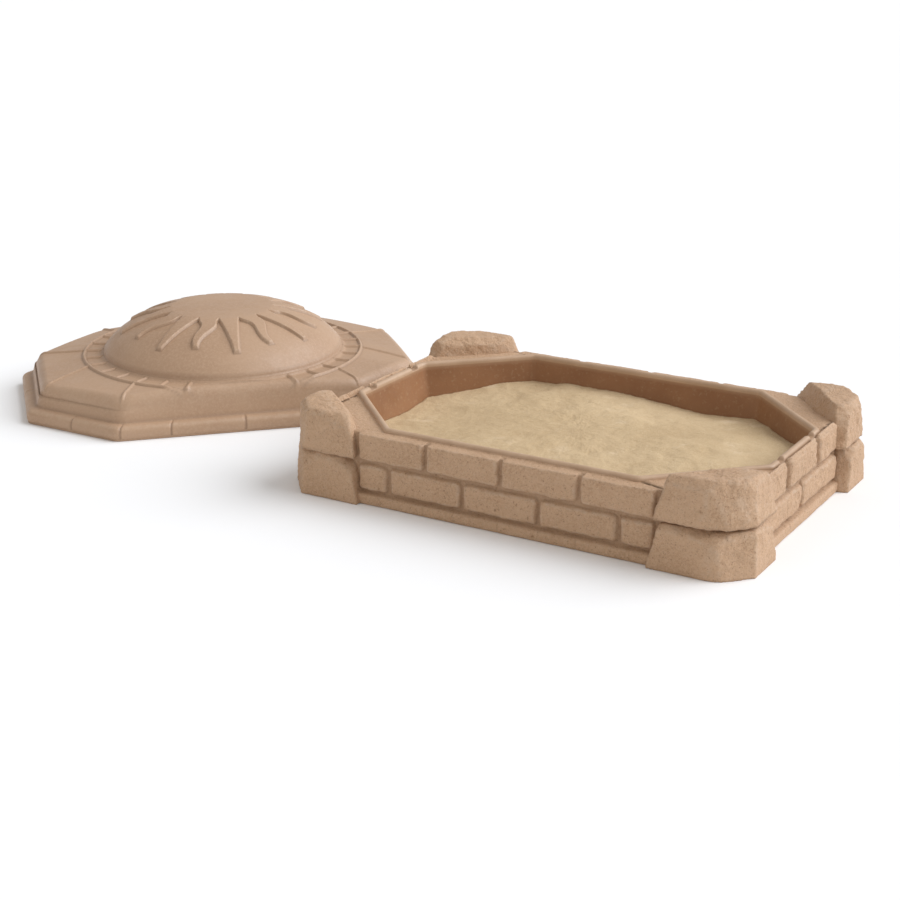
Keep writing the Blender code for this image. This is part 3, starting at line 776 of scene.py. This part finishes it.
def build_sand(material):
    basin = inset(BEAD_OUTLINE, BEAD_HALF * BEAD_WIDEN + 0.0005)
    corners = octagon_corners(basin)
    lengths = [math.dist(corners[i], corners[(i + 1) % 8]) for i in range(8)]
    total = sum(lengths)
    outline = []
    for i, length in enumerate(lengths):
        steps = round(SAND_COLUMNS * length / total)
        outline += [(i, step / steps) for step in range(steps)]
    dents = sand_dents()

    def surface(x, y):
        z = sand_height(x, y)
        for centre_x, centre_y, depth, spread in dents:
            away = (x - centre_x) ** 2 + (y - centre_y) ** 2
            if away < 9 * spread ** 2:
                z += depth * math.exp(-away / (2 * spread ** 2))
        z += 0.0052 * fractal(x, y, 0.0, 6.0, 3) + 0.0020 * fractal(x, y, 3.0, 24.0, 4)
        return z + 0.0009 * fractal(x, y, 6.0, 95.0, 2)

    def leaned(side, share, z):
        """A point of the basin's outline at height z, where the wall has leaned in."""
        lean = BASIN_DRAFT * (WALL_TOP - z) / (WALL_TOP - FLOOR_Z - BASIN_FILLET)
        ring = octagon_corners(inset(BEAD_OUTLINE, BEAD_HALF * BEAD_WIDEN + lean - SAND_OVERLAP))
        (ax, ay), (bx, by) = ring[side], ring[(side + 1) % 8]
        return ax + (bx - ax) * share, ay + (by - ay) * share

    rim = []
    for side, share in outline:
        x, y = leaned(side, share, SAND_LEVEL)
        x, y = leaned(side, share, surface(x, y))
        rim.append((x, y, surface(x, y)))
    rows = [np.array([(x * 0.955, y * 0.955, FLOOR_Z + 0.001) for x, y, _ in rim]),
            np.array([(x * 0.975, y * 0.975, FLOOR_Z + 0.022) for x, y, _ in rim]), np.array(rim)]
    for ring in range(1, SAND_RINGS):
        scale = 1.0 - ring / SAND_RINGS
        rows.append(np.array([(x * scale, y * scale, surface(x * scale, y * scale)) for x, y, _ in rim]))
    points = np.concatenate(rows)
    obj = make_object("sand_surface", points, capped_faces(rows), material, "base", "sand", "sand_fill")
    # Painted shade where the surface sinks below its broad mounds.
    broad = np.array([sand_height(x, y) for x, y, _ in points])
    paint(obj, "hollow", smooth(broad - points[:, 2], -0.002, 0.007))


# ---- cover ----
STRAIGHT_TIP = 0.397
WAVY_TIP = 0.376
RAY_ROOT = 0.0385
RAY_TIP = 0.0105
RAYS = 16
WAVE_REACH = 0.0125
WAVE_TURNS = 0.92
TIES = 32
TIE_FREE_ANGLE = math.radians(16.0)  # no ties this close to the middle of a long side
TRACK_HALF, TRACK_HEIGHT = 0.0060, 0.0085
TIE_HALF, TIE_HEIGHT = 0.0075, 0.0080
ROAD_HALF, ROAD_HEIGHT = 0.0065, 0.0066
TRACK_ZONE = 0.572  # rows are closer together inside this radius
SEAM_DEPTH = 0.0032
SEAM_NOTCH = 0.0028


def sun_distance(u, v):
    """Signed distance to the raised sun: a disc with straight and wavy rays in turn."""
    radius, angle = np.hypot(u, v), np.arctan2(v, u)
    distance = radius - DISC_RADIUS
    for ray in range(RAYS):
        axis = 2 * math.pi * ray / RAYS
        wavy = ray % 2 == 1
        tip = WAVY_TIP if wavy else STRAIGHT_TIP
        ahead = radius * np.cos(angle - axis)
        aside = radius * np.sin(angle - axis)
        share = np.clip((ahead - DISC_RADIUS) / (tip - DISC_RADIUS), 0.0, 1.0)
        if wavy:
            aside = aside - WAVE_REACH * np.sin(share * 2 * math.pi * WAVE_TURNS) * smooth(share, 0.0, 0.25)
        half = RAY_ROOT + (RAY_TIP - RAY_ROOT) * share ** 0.85
        reach = np.maximum(np.abs(aside) - half, ahead - tip)
        reach = np.where(ahead > DISC_RADIUS * 0.8, reach, 1.0)
        distance = np.minimum(distance, reach)
    return distance


def path_distance(u, v, path):
    """Distance to a polyline."""
    best = np.full(u.shape, 9.0)
    for (ax, ay), (bx, by) in zip(path, path[1:]):
        dx, dy = bx - ax, by - ay
        t = np.clip(((u - ax) * dx + (v - ay) * dy) / (dx * dx + dy * dy), 0.0, 1.0)
        best = np.minimum(best, np.hypot(u - ax - dx * t, v - ay - dy * t))
    return best


def road_paths():
    """Raised lines from the track to the eight corners of the deck, each with a slight bend."""
    paths = []
    for flip_u in (1, -1):
        for flip_v in (1, -1):
            for start, bend, end in (((0.534, 0.112), (0.618, 0.156), (0.736, 0.250)),
                                     ((0.386, 0.386), (0.428, 0.446), (0.462, 0.540))):
                points = []
                for step in range(9):
                    t = step / 8
                    weights = ((1 - t) ** 2, 2 * t * (1 - t), t * t)
                    points.append(tuple(sum(w * p[k] for w, p in zip(weights, (start, bend, end))) * flip
                                        for k, flip in ((0, flip_u), (1, flip_v))))
                paths.append(points)
    return paths


def ridge(distance, half, height):
    return height * np.sqrt(np.clip(1.0 - (distance / half) ** 2, 0.0, 1.0))


def top_relief(u, v):
    """Height of the raised pattern on the dome and deck, the painted shade in the grooves beside it and the
    painted highlight on its edges and ridge tops.
    """
    radius, angle = np.hypot(u, v), np.arctan2(v, u)
    sun = sun_distance(u, v)
    height = RELIEF * (1.0 - smooth(sun, -0.0028, 0.0022))
    # Painted shade just outside the sun, painted highlight just inside its edge.
    groove_shade = np.exp(-((sun - 0.0030) / 0.0022) ** 2)
    highlight = np.exp(-((sun + 0.0030) / 0.0022) ** 2)
    rail = np.abs(radius - RING_RADIUS)
    length, width, chamfer = inset(COVER_OUTLINE, 0.086)
    inside = np.minimum(np.minimum(length - np.abs(u), width - np.abs(v)),
                        (chamfer - np.abs(u) - np.abs(v)) / math.sqrt(2))
    track = ridge(rail, TRACK_HALF, TRACK_HEIGHT) * smooth(inside, -0.002, 0.012)
    # Painted shade beside the track, painted highlight on its top.
    groove_shade = np.maximum(groove_shade, 0.8 * np.exp(-((rail - 0.0085) / 0.0030) ** 2))
    highlight = np.maximum(highlight, 0.7 * np.exp(-(rail / 0.0035) ** 2))
    step = 2 * math.pi / TIES
    aside = radius * np.sin(angle - np.round(angle / step) * step)
    within = (smooth(radius, DOME_RADIUS + 0.002, DOME_RADIUS + 0.010)
              * (1.0 - smooth(radius, RING_RADIUS - 0.004, RING_RADIUS)))
    from_side = np.abs(np.abs(angle) - math.pi / 2)
    within = within * (from_side > TIE_FREE_ANGLE)
    ties = ridge(aside, TIE_HALF, TIE_HEIGHT) * within
    # Painted shade beside the ties.
    groove_shade = np.maximum(groove_shade, 0.7 * within * np.exp(-((np.abs(aside) - 0.0105) / 0.003) ** 2))
    height = np.maximum(height, np.maximum(track, ties))
    for path in road_paths():
        away = path_distance(u, v, path)
        height = np.maximum(height, ridge(away, ROAD_HALF, ROAD_HEIGHT))
        # Painted shade beside each road, painted highlight on its top.
        groove_shade = np.maximum(groove_shade, 0.35 * np.exp(-((away - 0.0075) / 0.0028) ** 2))
        highlight = np.maximum(highlight, 0.6 * np.exp(-(away / 0.0035) ** 2))
    return height, np.clip(groove_shade, 0.0, 1.0), np.clip(highlight, 0.0, 1.0)


def deck_height(u, v):
    return DECK_Z - DECK_FALL * np.maximum(0.0, np.hypot(u, v) - RING_RADIUS)


def dome_height(radius):
    """The dome's plain surface at a distance from its middle."""
    share = np.clip(1.0 - (radius / DOME_RADIUS) ** 2, 0.0, 1.0)
    return DECK_Z + DOME_RISE * share ** DOME_POWER


def cover_columns():
    """(side, share along it) around the octagon, with more columns beside the flange's seams."""
    corners = octagon_corners(COVER_OUTLINE)
    columns = []
    for side in range(8):
        length = math.dist(corners[side], corners[(side + 1) % 8])
        seams = [length / 2]
        if side in LONG_SIDES:
            seams += [length / 2 - LONG_PITCH, length / 2 + LONG_PITCH, 0.014, length - 0.014]
        places = spaced(0.0, length, 0.0062, seams, 0.009, 0.0022)
        columns += [(side, place / length, min(abs(place - seam) for seam in seams)) for place in places[:-1]]
    return columns


def build_cover(material):
    columns = cover_columns()
    count = len(columns)
    seam_away = np.array([away for _, _, away in columns])
    seam = 1.0 - smooth(seam_away, 0.0012, 0.0058)
    rows, painted_shades, painted_highlights = [], [], []

    def outline(distance):
        """The octagon with its corners rounded, more so further in."""
        corners = octagon_corners(inset(COVER_OUTLINE, distance))
        reach = 0.014 + 0.45 * distance
        ring = []
        for side, share, _ in columns:
            (ax, ay), (bx, by) = corners[side], corners[(side + 1) % 8]
            length = math.dist((ax, ay), (bx, by))
            after, before = share * length, (1.0 - share) * length
            x, y = ax + (bx - ax) * share, ay + (by - ay) * share
            if min(after, before) < reach:
                corner = (side + (before < after)) % 8
                t = 0.5 * (1.0 + after / reach) if after < before else 0.5 * (1.0 - before / reach)
                knots = []
                for other in (corner - 1, corner + 1):
                    ox, oy = corners[other % 8]
                    cx, cy = corners[corner]
                    step = reach / math.dist((ox, oy), (cx, cy))
                    knots.append((cx + (ox - cx) * step, cy + (oy - cy) * step))
                knots.insert(1, corners[corner])
                weights = ((1 - t) ** 2, 2 * t * (1 - t), t * t)
                x, y = (sum(w * k[axis] for w, k in zip(weights, knots)) for axis in (0, 1))
            ring.append((x, y))
        return np.array(ring)

    def add(ring, z, painted_shade=0.0, highlight=0.0):
        rows.append(np.column_stack([ring, np.broadcast_to(z, (count,))]))
        painted_shades.append(np.broadcast_to(np.asarray(painted_shade, float), (count,)))
        painted_highlights.append(np.broadcast_to(np.asarray(highlight, float), (count,)))

    # Flange and side wall: (inset from the outline, height, how much painted shade in its creases).
    side_profile = (
        (0.0045, 0.0004, 0.2), (0.0035, 0.0030, 0.0), (0.0045, 0.0070, 0.3), (0.0022, 0.0105, 0.0),
        (0.0006, 0.0160, 0.0), (0.0000, 0.0230, 0.0), (0.0003, 0.0310, 0.0), (0.0022, 0.0390, 0.0),
        (0.0062, 0.0460, 0.0), (0.0120, 0.0508, 0.0), (0.0200, 0.0538, 0.0), (0.0290, 0.0548, 0.0),
        (0.0360, 0.0552, 0.3), (0.0400, 0.0575, 0.6), (0.0425, 0.0630, 0.3), (0.0450, 0.0730, 0.0),
        (0.0480, 0.0840, 0.0), (0.0520, 0.1000, 0.0))
    for distance, z, painted_shade in side_profile:
        on_flange = smooth(z, 0.006, 0.010) * (1.0 - smooth(z, 0.050, 0.056))
        depth = SEAM_DEPTH * seam * on_flange
        corners = octagon_corners(inset(COVER_OUTLINE, distance))
        ring = outline(distance)
        pushed = []
        for (x, y), (side, _, _), d in zip(ring, columns, depth):
            (ax, ay), (bx, by) = corners[side], corners[(side + 1) % 8]
            length = math.dist((ax, ay), (bx, by))
            pushed.append((x - (by - ay) / length * d, y + (bx - ax) / length * d))
        drop = SEAM_NOTCH * seam * smooth(distance, 0.004, 0.012) * (1.0 - smooth(distance, 0.034, 0.040))
        # Painted shade in the flange's seams, painted highlight along the flange's top away from them.
        add(np.array(pushed), z - drop, np.maximum(painted_shade, 0.95 * seam * on_flange),
            0.5 * on_flange * smooth(z, 0.040, 0.047) * (1.0 - seam))

    edge_profile = ((0.0560, 0.0460), (0.0578, 0.0355), (0.0602, 0.0265), (0.0638, 0.0182), (0.0685, 0.0112),
                    (0.0745, 0.0058), (0.0815, 0.0020), (0.0885, 0.0000))
    for distance, drop in edge_profile:
        ring = outline(distance)
        height, groove_shade, _ = top_relief(ring[:, 0], ring[:, 1])
        fade = smooth(0.046 - drop, 0.0, 0.040)
        # Painted shade from the relief's grooves, and a faint painted highlight along the rounded top edge.
        add(ring, deck_height(ring[:, 0], ring[:, 1]) - drop + height * fade, groove_shade * fade, 0.25)
    rim = rows[-1][:, :2]
    reach = np.hypot(rim[:, 0], rim[:, 1])
    directions = rim / reach[:, None]
    middle = np.minimum(TRACK_ZONE, DOME_RADIUS + (reach - DOME_RADIUS) * 0.75)

    def add_top(radius):
        ring = directions * np.broadcast_to(radius, (count,))[:, None]
        radius = np.hypot(ring[:, 0], ring[:, 1])
        height, groove_shade, highlight = top_relief(ring[:, 0], ring[:, 1])
        surface = np.where(radius < DOME_RADIUS, dome_height(radius), deck_height(ring[:, 0], ring[:, 1]))
        crown = dome_height(DISC_RADIUS) + DISC_CROWN * (1.0 - (radius / DISC_RADIUS) ** 2)
        surface = np.where(radius < DISC_RADIUS, crown, surface)
        foot = 0.010 * np.exp(-((radius - DOME_RADIUS - 0.001) / 0.011) ** 2)
        # Painted shade at the dome's foot.
        add(ring, surface + height + foot * (height < 0.004), np.maximum(groove_shade, 0.25 * (foot > 0.004)), highlight)

    deck_steps, track_steps = 22, 34
    for step in range(1, deck_steps + 1):
        add_top(reach + (middle - reach) * step / deck_steps)
    for step in range(1, track_steps):
        add_top(middle + (DOME_RADIUS - middle) * step / track_steps)
    radii = [0.470, 0.4685, 0.466, 0.4625, 0.458, 0.452, 0.445, 0.437, 0.429, 0.421, 0.414]
    radii += list(np.arange(0.409, 0.368, -0.0026)) + list(np.arange(0.366, 0.236, -0.0042))
    radii += list(np.arange(0.233, 0.190, -0.0028)) + [0.180, 0.165, 0.145, 0.12, 0.09, 0.06, 0.03, 0.012]
    for radius in radii:
        add_top(radius)

    outer = len(rows)
    inner_profile = [(0.0085, 0.0004), (0.0085, 0.020), (0.0110, 0.038), (0.0240, 0.0495), (0.0420, 0.0515),
                     (0.0485, 0.066), (0.0590, 0.108)]
    for distance, z in inner_profile:
        add(outline(distance), z)
    ring = outline(0.0760)
    add(ring, deck_height(ring[:, 0], ring[:, 1]) - COVER_WALL - 0.006)
    inner_deck = directions * (DOME_RADIUS - 0.006)
    add(inner_deck, DECK_Z - COVER_WALL)
    for radius in (0.455, 0.43, 0.39, 0.33, 0.26, 0.18, 0.09, 0.012):
        add(directions * radius, dome_height(np.array([radius + 0.006]))[0] - COVER_WALL)
    total = len(rows)

    faces = ring_faces(outer, count)
    faces.append(tuple(range((outer - 1) * count, outer * count)))
    for r in range(outer, total - 1):
        low, high = r * count, (r + 1) * count
        faces += [(high + i, high + (i + 1) % count, low + (i + 1) % count, low + i) for i in range(count)]
    faces.append(tuple(range((total - 1) * count, total * count))[::-1])
    start = outer * count
    faces += [(start + i, start + (i + 1) % count, (i + 1) % count, i) for i in range(count)]

    local = np.concatenate(rows)
    cos_yaw, sin_yaw = math.cos(COVER_YAW), math.sin(COVER_YAW)
    points = np.column_stack([COVER_CENTRE[0] + local[:, 0] * cos_yaw - local[:, 1] * sin_yaw,
                              COVER_CENTRE[1] + local[:, 0] * sin_yaw + local[:, 1] * cos_yaw, local[:, 2]])
    obj = make_object("cover_shell", points, faces, material, "cover", "tan_plastic", "cover")
    paint(obj, "painted_shade", np.concatenate(painted_shades))
    paint(obj, "painted_highlight", np.concatenate(painted_highlights))


# ---- studio ----
SKY_LIGHT = 0.48
KEY_LIGHT = 2.95
KEY_FROM = (0.82, 0.60, 0.82)
KEY_SPREAD = 58.0
KEY_COLOR = (0.975, 1.0, 1.04)
FILL_LIGHT = 0.36
FILL_FROM = (-0.25, -1.0, 0.40)
FILL_SPREAD = 100.0
FILL_COLOR = (1.0, 0.86, 0.68)
SKY_COLOR = (0.985, 0.99, 1.0)
FLOOR_HALF = 60.0
FLOOR_LEVEL = -0.0005
CAMERA_AZIMUTH = math.radians(30.684)
CAMERA_ELEVATION = math.radians(19.134)
CAMERA_TARGET = (0.1016, -1.0458, 0.4355)
CAMERA_DISTANCE = 4.9906
CAMERA_LENS = 70.0
CAMERA_SENSOR = 36.0


def add_sun(name, strength, spread, source, color):
    """A distant soft light that shines from the direction source."""
    data = bpy.data.lights.new(name, "SUN")
    data.energy = strength
    data.angle = math.radians(spread)
    data.color = color
    light = bpy.data.objects.new(name, data)
    light.rotation_euler = Vector(source).to_track_quat("Z", "Y").to_euler()
    bpy.context.scene.collection.objects.link(light)


def build_studio():
    scene = bpy.context.scene
    scene.view_settings.view_transform = "Standard"
    world = bpy.data.worlds.new("studio")
    world.use_nodes = True
    tree = world.node_tree
    sky = tree.nodes["Background"]
    sky.inputs["Color"].default_value = (*SKY_COLOR, 1.0)
    sky.inputs["Strength"].default_value = SKY_LIGHT
    seen = tree.nodes.new("ShaderNodeBackground")
    seen.inputs["Color"].default_value = (1.0, 1.0, 1.0, 1.0)
    choice = tree.nodes.new("ShaderNodeMixShader")
    tree.links.new(tree.nodes.new("ShaderNodeLightPath").outputs["Is Camera Ray"], choice.inputs["Fac"])
    tree.links.new(sky.outputs["Background"], choice.inputs[1])
    tree.links.new(seen.outputs["Background"], choice.inputs[2])
    tree.links.new(choice.outputs["Shader"], tree.nodes["World Output"].inputs["Surface"])
    scene.world = world
    mesh = bpy.data.meshes.new("floor")
    mesh.from_pydata([(x * FLOOR_HALF, y * FLOOR_HALF, FLOOR_LEVEL)
                      for x, y in ((-1, -1), (1, -1), (1, 1), (-1, 1))], [], [(0, 1, 2, 3)])
    mesh.materials.append(floor_paper())
    floor = bpy.data.objects.new("floor", mesh)
    scene.collection.objects.link(floor)
    add_sun("key", KEY_LIGHT, KEY_SPREAD, KEY_FROM, KEY_COLOR)
    add_sun("fill", FILL_LIGHT, FILL_SPREAD, FILL_FROM, FILL_COLOR)

    back = Vector((math.sin(CAMERA_AZIMUTH) * math.cos(CAMERA_ELEVATION),
                   -math.cos(CAMERA_AZIMUTH) * math.cos(CAMERA_ELEVATION), math.sin(CAMERA_ELEVATION)))
    camera_data = bpy.data.cameras.new("camera")
    camera_data.lens = CAMERA_LENS
    camera_data.sensor_width = CAMERA_SENSOR
    camera = bpy.data.objects.new("camera", camera_data)
    camera.location = Vector(CAMERA_TARGET) + back * CAMERA_DISTANCE
    camera.rotation_euler = (-back).to_track_quat("-Z", "Y").to_euler()
    scene.collection.objects.link(camera)
    scene.camera = camera


build_studio()
granite = granite_plastic()
build_block_wall(granite)
build_corner_stones(granite)
build_basin(basin_plastic())
build_sand(sand_grains())
build_cover(cover_plastic())
